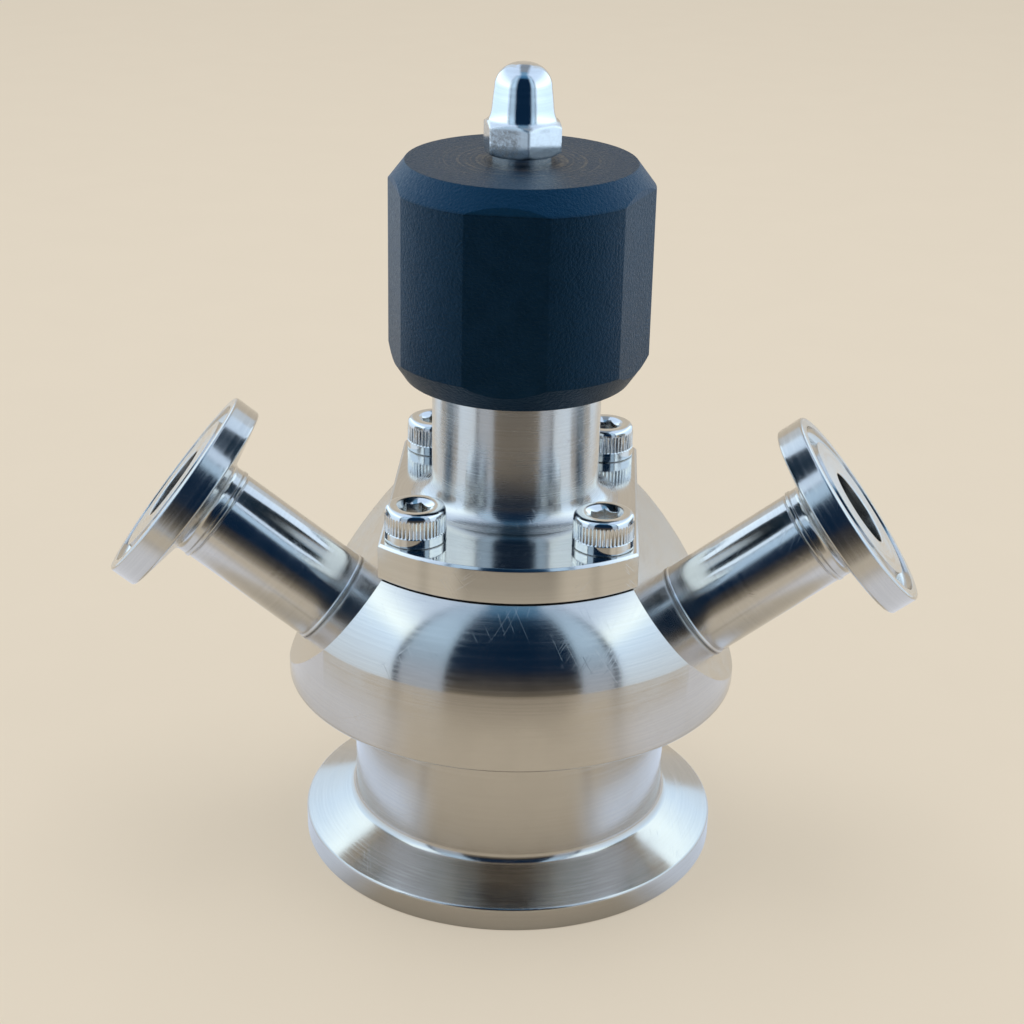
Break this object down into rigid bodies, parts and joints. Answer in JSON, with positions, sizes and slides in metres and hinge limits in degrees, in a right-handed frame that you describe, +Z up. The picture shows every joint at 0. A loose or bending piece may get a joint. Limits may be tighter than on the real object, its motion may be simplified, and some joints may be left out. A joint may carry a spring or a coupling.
{
  "type": "sanitary sampling valve",
  "caption": "Diaphragm sampling valve with a clamp ferrule below, two upward sample ports and a rotating knob on a rising spindle.",
  "frame": {"origin": "centre of the tank clamp face, the lowest face of the valve", "axes": "+Z up along the spindle towards the knob; the two sample ports lie in the XZ plane, one towards +X and one towards -X"},
  "size_m": [0.0964, 0.054, 0.0954],
  "materials": {
    "body_steel": "fine turned stainless steel",
    "polished_steel": "polished stainless steel",
    "bonnet_steel": "machined stainless steel, mirror-polished clamp plate",
    "bright_fastener": "bright polished steel",
    "knob_plastic": "matt grained blue-black plastic",
    "silicone": "translucent white silicone",
    "ring_rubber": "black EPDM",
    "bronze": "machined bronze",
    "inner_steel": "machined stainless steel"
  },
  "bodies": {
    "valve": {"valve_body": "body_steel", "left_port_tube": "polished_steel", "left_port_ferrule": "polished_steel", "right_port_tube": "polished_steel", "right_port_ferrule": "polished_steel", "bonnet": "bonnet_steel", "bonnet_screws": "bright_fastener", "diaphragm": "silicone", "spindle_nut": "bronze", "nut_lock_pin": "inner_steel", "neck_o_ring": "ring_rubber"},
    "plunger": {"plunger": "inner_steel", "diaphragm_stud": "inner_steel", "plunger_guide_pin": "inner_steel", "plunger_o_ring": "ring_rubber", "thrust_disc": "bronze", "spindle_clip": "inner_steel"},
    "handwheel": {"spindle": "inner_steel", "knob_hub": "polished_steel", "knob": "knob_plastic", "acorn_nut": "bright_fastener"}
  },
  "joints": [
    {"name": "plunger_lift", "type": "slide", "parent": "valve", "child": "plunger", "axis": [0, 0, 1], "range_m": [0, 0.003], "deforming": ["diaphragm"]},
    {"name": "knob_turn", "type": "hinge", "parent": "plunger", "child": "handwheel", "pos_m": [0, 0, 0.07], "axis": [0, 0, 1], "range_deg": [0, 540]}
  ],
  "couplings": [
    {"joint": "knob_turn", "follows": "plunger_lift", "rad_per_m": 3141.6}
  ]
}
